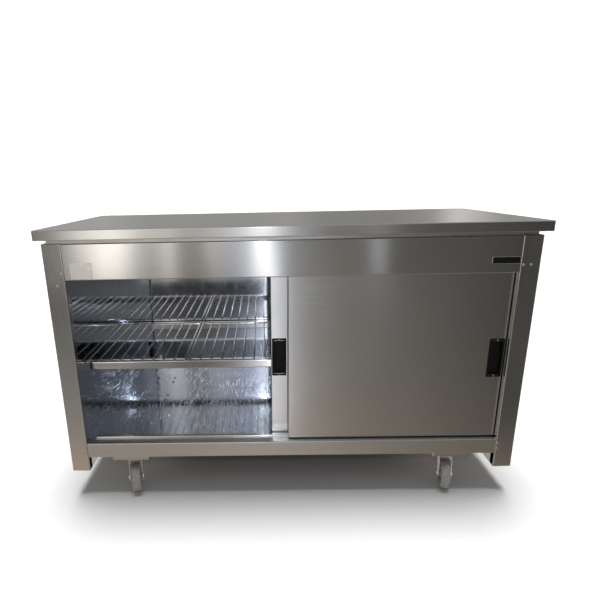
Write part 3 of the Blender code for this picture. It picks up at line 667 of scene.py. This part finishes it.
class CABINET_OT_castors(bpy.types.Operator):
    """Swivel castors: plate and race, pressed fork, hexagon axle bolt and moulded wheel"""

    bl_idname = "cabinet.castors"
    bl_label = "Castors"

    def execute(self, context):
        radius = context.scene.cabinet_fitting.tread_radius
        joints = {joint["name"]: joint for joint in frame["joints"]}
        for name in CASTORS:
            low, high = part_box(f"castor_plate_{name}")
            pin = np.array(joints[f"castor_{name}_swivel"]["pos_m"])
            roll = joints[f"castor_{name}_roll"]
            hub, axis = np.array(roll["pos_m"]), np.array(roll["axis"], float)
            self.plate(name, pin, high.z)
            node = f"castor_fork_{name}"
            fork = self.fork(pin, hub, axis)
            piece(f"{node}_pressing", fork, "zinc_plate", f"castor_{name}", [node])
            node = f"castor_axle_{name}"
            bolt = self.bolt(hub, axis)
            piece(f"{node}_bolt", bolt, "zinc_plate", f"castor_{name}", [node])
            node = f"castor_wheel_{name}"
            # half the wheel's section from the bore out: hub boss, thin web, rim, tread
            half = [(0.0175, 0.0044), (0.0175, 0.0105), (0.0085, 0.0135), (0.0075, 0.0330), (0.0145, 0.0395)]
            half += [(0.0150, 0.0440), (0.0130, radius - 0.0022), (0.0065, radius)]
            section = rounded([*half, *((-x, r) for x, r in half[::-1])], 0.0008, 3, closed=True)
            wheel = turned(section, hub, axis, 64, closed=True)
            piece(f"{node}_moulding", [wheel], "grey_tread_rubber", node, [node])
        return {"FINISHED"}

    def bolt(self, hub, axis):
        """Axle bolt: a hexagon at each end, the shank between them and the thread's end past the nut."""
        heads = [hexagon(hub + axis * side * 0.0218, axis * side, 0.0112, 0.0037) for side in (-1, 1)]
        end = rounded([(0.0250, 0.001), (0.0250, 0.0034), (0.0255, 0.0034), (0.0255, 0.001)], 0.0001, 1)
        return [*heads, turned([(-0.0217, 0.004), (0.0217, 0.004)], hub, axis, 20), turned(end, hub, axis, 16)]

    def plate(self, name, pin, high):
        """Top plate with its ball race and kingpin, and the nuts on its four studs."""
        low = high - PLATE
        outline = rectangle((pin[0] - 0.0475, pin[1] - 0.035), (pin[0] + 0.0475, pin[1] + 0.035), 0.008, 6)
        race = [(low + GAP, 0.001), (low + GAP, 0.0225), (0.1185, 0.0262), (0.1155, 0.0240), (0.1155, 0.001)]
        kingpin = [(0.1156, 0.001), (0.1156, 0.006), (0.1117, 0.006)]
        kingpin += [(0.1117, 0.0095), (0.1062, 0.0090), (0.1062, 0.001)]
        foot, up = (pin[0], pin[1], 0), (0, 0, 1)
        shells = [slab(outline, "Z", (low, high), 0.0014)]
        shells.append(turned(rounded(race, 0.0009, 3), foot, up, 40))
        shells.append(turned(rounded(kingpin, 0.0003, 2), foot, up, 40))
        node = f"castor_plate_{name}"
        piece(f"{node}_pressing", shells, "zinc_plate", "cabinet", [node])
        stud = rounded([(0.005, 0.001), (0.005, 0.0030), (0.0085, 0.0030), (0.0085, 0.001)], 0.0005, 2)
        shells = []
        for x, y in PLATE_BOLTS:
            foot = (pin[0] + x, pin[1] + y, low - GAP)
            down = (0, 0, -1)
            shells += [hexagon(foot, down, 0.010, 0.005), turned(stud, foot, down, 16)]
        piece(f"castor_nuts_{name}", shells, "zinc_plate", "cabinet")

    def fork(self, pin, hub, axis):
        """Crown plate round the kingpin and two prongs, made along X, Y, Z and then turned to the castor."""
        trail = hub - pin
        trail[2] = 0
        axes = np.array([unit(axis), -unit(trail), (0, 0, 1)])  # along the axle, from hub to pin, up
        reach = np.linalg.norm(trail)
        crown = (0.1122, 0.1152)
        sole = 0.013  # radius of the prong's round end
        angle = np.radians(np.linspace(188, 352, 9))
        leg = [(-reach + sole * math.cos(a), hub[2] + sole * math.sin(a)) for a in angle]
        leg += [(0.006, 0.078), (0.0275, 0.104), (0.0275, crown[1]), (-0.0295, crown[1]), (-0.0300, 0.100)]
        leg = rounded(leg, 0.0012, 3, closed=True)
        shells = [slab(leg, "X", sorted((side * 0.0185, side * 0.0215)), 0.0007) for side in (-1, 1)]
        plan = rectangle((-0.0215, -0.0295), (0.0215, 0.0275), 0.004, 5)
        start = math.atan2(plan[0][1], plan[0][0])
        around = start + np.linspace(0, math.tau, len(plan), endpoint=False)
        hole = 0.0066 * np.stack([np.cos(around), np.sin(around)], -1)
        lines = ((hole, crown[0]), (plan, crown[0]), (plan, crown[1]), (hole, crown[1]))
        shells.append(loft([at(line, "Z", z) for line, z in lines], closed=True))
        return [placed(shell, pin * (1, 1, 0), axes) for shell in shells]


class CABINET_OT_fixings(bpy.types.Operator):
    """Rivets on the posts and the bolts through the cavity floor"""

    bl_idname = "cabinet.fixings"
    bl_label = "Fixings"

    def execute(self, context):
        radius = context.scene.cabinet_fitting.rivet_radius
        # x and z of each post's rivets, which aren't quite in line
        posts = {
            "right": ((0.690, 0.771), (0.712, 0.771), (0.686, 0.179), (0.686, 0.160)),
            "left": ((-0.690, 0.769), (-0.706, 0.732), (-0.691, 0.178), (-0.691, 0.155)),
        }
        for side, places in posts.items():
            heads = [dome((x, FRONT - 0.0001, z), (0, -1, 0), radius, 0.0016, radius * 0.42) for x, z in places]
            piece(f"post_rivets_{side}", heads, "zinc_plate", "cabinet")
        for name in ("rear_left", "rear_right"):
            low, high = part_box(f"castor_plate_{name}")
            middle = (low + high) / 2
            feet = [(middle.x + x, middle.y + y, FLOOR_TOP) for x, y in PLATE_BOLTS]
            heads = [dome(foot, (0, 0, 1), 0.0058, 0.0032) for foot in feet]
            piece(f"floor_bolts_{name}", heads, "zinc_plate", "cabinet")
        return {"FINISHED"}


class CABINET_OT_plates(bpy.types.Operator):
    """Blank rating foil at the left of the fascia and a blank dark badge at its right"""

    bl_idname = "cabinet.plates"
    bl_label = "Plates"

    def execute(self, context):
        skin = 0.00005  # the plates' backs stand this clear of the fascia
        foil = rectangle((-0.661, 0.751), (-0.594, 0.800), 0.0015)
        shell = slab(foil, "Y", (FRONT - 0.0004, FRONT - skin), 0.0001)
        piece("rating_foil", [shell], "silver_foil", "cabinet")
        rim = rectangle((0.596, 0.775), (0.679, 0.796), 0.0025)
        shell = slab(rim, "Y", (FRONT - 0.0012, FRONT - skin), 0.0004)
        piece("badge_rim", [shell], "silver_foil", "cabinet")
        face = rectangle((0.5972, 0.7762), (0.6778, 0.7948), 0.0018)
        shell = slab(face, "Y", (FRONT - 0.0015, FRONT - 0.0010), 0.0002)
        piece("badge_face", [shell], "black_abs", "cabinet")
        return {"FINISHED"}


class CABINET_OT_controls(bpy.types.Operator):
    """Thermostat knob and dial, rocker switch and cable gland on the back"""

    bl_idname = "cabinet.controls"
    bl_label = "Controls"

    def execute(self, context):
        self.knob()
        self.switch()
        self.gland()
        return {"FINISHED"}

    def knob(self):
        """Fluted knob with its pointer, and ten ticks round it over three quarters of a turn."""
        low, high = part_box("thermostat_knob")
        centre = (low + high) / 2
        foot = (centre.x, low.y, centre.z)
        skirt = rounded([(0.0001, 0.001), (0.0001, 0.0208), (0.0030, 0.0204), (0.0042, 0.0165)], 0.0006, 3)
        grip = [(0.0042, 0.001), (0.0042, 0.0162), (0.0165, 0.0147), (0.0170, 0.0125), (0.0166, 0.001)]
        shells = [
            turned([*skirt, (0.0042, 0.001)], foot, (0, 1, 0), 48),
            turned(rounded(grip, 0.0009, 3), foot, (0, 1, 0), 96, wave=0.035, lobes=16),
        ]
        piece("thermostat_knob_grip", shells, "black_abs", "thermostat_knob", ["thermostat_knob"])
        x, z = centre.x, centre.z
        mark = rectangle((x - 0.0008, z + 0.004), (x + 0.0008, z + 0.0125), 0.0004)
        pointer = slab(mark, "Y", (low.y + 0.0166, low.y + 0.0171), 0.0001)
        piece("thermostat_pointer", [pointer], "white_print", "thermostat_knob")
        ticks = []
        for a in np.radians(90 - 30 * np.arange(10)):
            way = np.array([math.cos(a), math.sin(a)])
            across = np.array([-way[1], way[0]]) * 0.0006
            inner, outer = np.array([x, z]) + way * 0.0235, np.array([x, z]) + way * 0.0265
            outline = [inner - across, outer - across, outer + across, inner + across]
            ticks.append(slab(outline, "Y", (BACK + 0.00005, BACK + 0.0002), 0.00004))
        piece("thermostat_scale", ticks, "black_abs", "cabinet")

    def switch(self):
        """Switch body behind the panel, its frame with a well, and the rocker's cap."""
        low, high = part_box("power_switch")
        middle = (low + high) / 2
        half_x, half_z = high.x - middle.x, high.z - middle.z
        well = (0.0122, 0.0080)
        wall_x, wall_z = half_x - well[0], half_z - well[1]
        rim = [(0.0, BACK + GAP), (0.0, high.y), (wall_x, high.y), (wall_x, high.y - 0.008)]
        body = rectangle((low.x + 0.002, low.z + 0.002), (high.x - 0.002, high.z - 0.002), 0.001)
        rings = [at(body, "Y", y) for y in (low.y, BACK + GAP)]
        for x, y in rounded(rim, [0.0008, 0.0004]):
            z = x * wall_z / wall_x
            rings.append(at(rectangle((low.x + x, low.z + z), (high.x - x, high.z - z), 0.0015), "Y", y))
        piece("power_switch_frame", [loft(rings)], "black_abs", "cabinet", ["power_switch"])
        low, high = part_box("power_rocker")
        half = (high.x - low.x) / 2
        hinge = BACK - 0.002
        sides = [(-half, -0.0045), (half, -0.0045), (half, 0.0045), (0, 0.0026), (-half, 0.0018)]
        path = [(middle.x + x, hinge + y) for x, y in sides]
        cap = slab(rounded(path, 0.0006, 2, closed=True), "Z", (low.z, high.z), 0.0004)
        piece("power_rocker_cap", [cap], "black_abs", "power_rocker", ["power_rocker"])

    def gland(self):
        """Threaded body through the panel, hexagon nut and fluted cap, all round an open bore."""
        low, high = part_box("cable_gland")
        centre = (low + high) / 2
        foot = (centre.x, BACK, centre.z)
        nut = hexagon((centre.x, BACK + GAP, centre.z), (0, 1, 0), 0.0216, 0.0068, 0.0058)
        cap = [(0.0068, 0.0056), (0.0068, 0.0108), (0.0148, 0.0100), (0.0180, 0.0074), (0.0180, 0.0056)]
        cap = turned(rounded(cap, 0.0007, 3, closed=True), foot, (0, 1, 0), 60, closed=True, wave=0.02, lobes=12)
        thread = [(-0.0120, 0.0057), (-0.0120, 0.0080), (GAP, 0.0080), (GAP, 0.0057)]
        thread = turned(thread, foot, (0, 1, 0), 24, closed=True)
        piece("cable_gland_body", [nut, cap, thread], "black_abs", "cabinet", ["cable_gland"])


def studio_reflections(node, direction):
    """What polished steel sees: soft upright bands in front, a plain wall behind, ground and ceiling.

    The bands depend on the compass sine of the direction, x over the length of (x, y).
    """
    x, y, z = (node("SeparateXYZ", [direction], out) for out in range(3))
    flat = node("VectorMath", [node("CombineXYZ", [x, y, 0.0])], "Value", operation="LENGTH")
    sine = node("Math", [x, node("Math", [flat, 0.001], operation="MAXIMUM")], operation="DIVIDE")
    share = node("Math", [sine, 0.5, 0.5], operation="MULTIPLY_ADD")

    def upright(pairs):
        """A ramp over the compass sine: each stop a level and, where not neutral, how far it is bluish."""
        neutral, bluish = np.array((1.01, 0.98, 0.94)), np.array((0.92, 0.99, 1.13))
        stops = [((u + 1) / 2, (*(v * (neutral + (bluish - neutral) * sum(b))), 1)) for u, v, *b in pairs]
        return node("ValToRGB", [share], stops=stops)

    def blend(factor, first, second, **settings):
        return node("Mix", {"Factor": factor, 6: first, 7: second}, 2, data_type="RGBA", **settings)

    front = upright([
        (-1.0, 0.25), (-0.44, 0.18), (-0.395, 0.18), (-0.365, 0.72), (-0.335, 1.30), (-0.305, 2.15),
        (-0.275, 2.10), (-0.240, 0.95), (-0.205, 0.60), (-0.187, 1.35), (-0.177, 1.35), (-0.160, 0.40),
        (-0.120, 0.44), (-0.100, 0.86), (-0.085, 0.80, 0.2), (-0.055, 0.74, 0.8), (-0.022, 0.96, 1.0),
        (-0.007, 2.4, 0.4), (0.008, 2.4, 0.4), (0.022, 0.92, 1.0), (0.055, 0.38, 0.8),
        (0.085, 0.27, 0.4), (0.14, 0.20), (0.205, 0.19), (0.226, 0.62, 0.6), (0.237, 0.62, 0.6),
        (0.250, 0.12), (0.31, 0.11), (0.40, 0.10), (0.50, 0.05), (1.0, 0.25),
    ])
    doors = [
        (0.018, 2.9, 0.6), (0.026, 2.4, 0.8), (0.040, 0.60, 0.9), (0.058, 0.36, 0.6), (0.11, 0.28),
        (0.16, 0.22), (0.22, 0.18), (0.30, 0.16), (0.37, 0.12), (0.45, 0.085), (0.48, 0.060),
        (0.70, 0.12), (1.0, 0.22),
    ]
    middle = upright([
        (-1.0, 0.18), (-0.45, 0.12), (-0.28, 0.060), (-0.06, 0.035), (0.004, 0.06, 0.4), *doors,
    ])
    low = upright([
        (-1.0, 0.30), (-0.40, 0.27), (-0.30, 0.26, 0.9), (-0.24, 0.28, 0.9), (-0.20, 0.21),
        (-0.15, 0.14), (-0.10, 0.19, 0.3), (-0.055, 0.33, 0.9), (-0.02, 0.95, 0.9), (0.006, 1.40, 0.8),
        *doors,
    ])
    ground = upright([
        (-1.0, 0.30), (-0.40, 0.44), (-0.36, 0.36), (-0.26, 0.29), (-0.14, 0.39), (0.10, 0.36),
        (0.16, 0.29), (0.27, 0.24), (0.37, 0.21), (0.46, 0.18), (1.0, 0.22),
    ])
    brown = blend(1.0, ground, (1.20, 1.02, 0.86, 1), blend_type="MULTIPLY")
    back = upright([
        (-1.0, 0.35), (-0.42, 0.42), (-0.30, 0.46), (-0.22, 0.36), (-0.05, 0.355), (0.06, 0.39),
        (0.12, 0.27), (0.24, 0.26), (0.32, 0.34), (0.36, 0.78), (0.385, 0.66), (0.43, 0.36),
        (1.0, 0.35),
    ])
    upper = blend(node("MapRange", [z, -0.165, -0.190, 0, 1]), front, middle)
    centre = blend(node("MapRange", [z, -0.20, -0.36, 0, 1]), upper, low)
    lower = blend(node("MapRange", [z, -0.42, -0.49, 0, 1]), centre, brown)
    around = blend(node("MapRange", [y, -0.25, 0.25, 0, 1]), lower, back)
    return blend(node("MapRange", [z, 0.25, 0.60, 0, 0.8]), around, (0.42, 0.43, 0.45, 1))


class CABINET_OT_stage(bpy.types.Operator):
    """Camera, pale floor and soft studio light"""

    bl_idname = "cabinet.stage"
    bl_label = "Stage"

    def execute(self, context):
        settings = context.scene.cabinet_stage
        yaw, pitch, roll = -0.0194, 0.3008, 0.0216  # radians: rightward, downward, leaning
        level = np.array([math.sin(yaw), math.cos(yaw), 0]) * math.cos(pitch)
        forward = level - np.array([0, 0, math.sin(pitch)])
        right = np.array([math.cos(yaw), -math.sin(yaw), 0])
        down = np.cross(forward, right)
        side = math.cos(roll) * right + math.sin(roll) * down
        foot = -math.sin(roll) * right + math.cos(roll) * down
        camera = bpy.data.objects.new("camera", bpy.data.cameras.new("camera"))
        camera.data.lens, camera.data.sensor_width = settings.lens, 36
        camera.data.shift_x, camera.data.shift_y = 0.0777, 0.0608
        turn = Matrix(np.column_stack([side, -foot, -forward]).tolist()).to_4x4()
        camera.matrix_world = Matrix.Translation((-0.0857, -1.7890, 1.0210)) @ turn
        context.scene.collection.objects.link(camera)
        context.scene.camera = camera

        floor_mesh = bpy.data.meshes.new("studio_floor")
        square = 30.0 * np.array([(-1, -1), (1, -1), (1, 1), (-1, 1)])
        floor_mesh.from_pydata(at(square, "Z", -0.0005).tolist(), [], [(0, 1, 2, 3)])
        floor = bpy.data.objects.new("studio_floor", floor_mesh)
        context.scene.collection.objects.link(floor)
        start_finish("pale_floor", linear("#E8E8E8"), 0.9, Specular_IOR_Level=0.0)
        floor_mesh.materials.append(bpy.data.materials["pale_floor"])
        floor.visible_glossy = False

        place = Vector((-0.086, -1.80, 1.16))
        aim = Vector((-0.05, 0.1, 0.45))
        flash = self.light("flash", "AREA", settings.flash, (aim - place).to_track_quat("-Z", "Y").to_euler())
        flash.location = place
        flash.visible_camera = False
        flash.data.shape = "RECTANGLE"
        flash.data.size = flash.data.size_y = 0.04
        flash.data.color = linear("#EAF1FF")[:3]
        # a wide soft light from above and a little in front, too broad to show in the steel
        overhead = self.light("overhead", "SUN", 4.3 * settings.fill, (math.radians(-8), 0, 0))
        overhead.data.angle = math.radians(30)
        overhead.visible_glossy = False

        world = bpy.data.worlds.new("studio")
        context.scene.world = world
        world.use_nodes = True
        tree = world.node_tree
        tree.nodes.clear()
        node = partial(add_node, tree)
        direction = node("TexCoord", out="Generated")
        z = node("SeparateXYZ", [direction], 2)
        ambient = node("MapRange", [z, -0.05, 0.60, 0.0, 0.24 * settings.fill])
        soft = node("Background", {"Color": (1, 1, 1, 1), "Strength": ambient})
        seen = node("Background", {"Color": studio_reflections(node, direction), "Strength": 1.0})
        white = node("Background", {"Color": (1, 1, 1, 1), "Strength": 1.0})
        lit = node("MixShader", [node("LightPath", out="Is Glossy Ray"), soft, seen])
        shown = node("MixShader", [node("LightPath", out="Is Camera Ray"), lit, white])
        node("OutputWorld", [shown])
        context.scene.view_settings.view_transform = "Standard"
        return {"FINISHED"}

    def light(self, name, kind, energy, rotation):
        """A light of a kind and strength, turned, in the scene."""
        data = bpy.data.lights.new(name, kind)
        data.energy = energy
        lamp = bpy.data.objects.new(name, data)
        lamp.rotation_euler = rotation
        bpy.context.scene.collection.objects.link(lamp)
        return lamp


class CABINET_PT_panel(bpy.types.Panel):
    """Lists the cabinet's settings and pieces"""

    bl_label = "Food holding cabinet"
    bl_idname = "CABINET_PT_panel"
    bl_space_type = "VIEW_3D"
    bl_region_type = "UI"
    bl_category = "Cabinet"

    def draw(self, context):
        for group in GROUPS:
            settings = getattr(context.scene, group)
            for name in settings.__annotations__:
                self.layout.prop(settings, name)
        for step in OPERATORS:
            self.layout.operator(step.bl_idname)


GROUPS = {
    "cabinet_finish": CabinetFinishSettings,
    "cabinet_sheet": CabinetSheetSettings,
    "cabinet_fitting": CabinetFittingSettings,
    "cabinet_stage": CabinetStageSettings,
}
OPERATORS = (
    CABINET_OT_stage,
    CABINET_OT_finishes,
    CABINET_OT_worktop,
    CABINET_OT_shell,
    CABINET_OT_cavity,
    CABINET_OT_doors,
    CABINET_OT_wire_shelves,
    CABINET_OT_castors,
    CABINET_OT_fixings,
    CABINET_OT_plates,
    CABINET_OT_controls,
)


def register():
    for item in (*GROUPS.values(), *OPERATORS, CABINET_PT_panel):
        bpy.utils.register_class(item)
    for name, group in GROUPS.items():
        setattr(bpy.types.Scene, name, bpy.props.PointerProperty(type=group))


def unregister():
    for name in GROUPS:
        delattr(bpy.types.Scene, name)
    for item in (CABINET_PT_panel, *OPERATORS[::-1], *list(GROUPS.values())[::-1]):
        bpy.utils.unregister_class(item)


def main():
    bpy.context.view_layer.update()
    register()
    for step in OPERATORS:
        group, name = step.bl_idname.split(".")
        getattr(getattr(bpy.ops, group), name)()


if __name__ == "__main__":
    main()
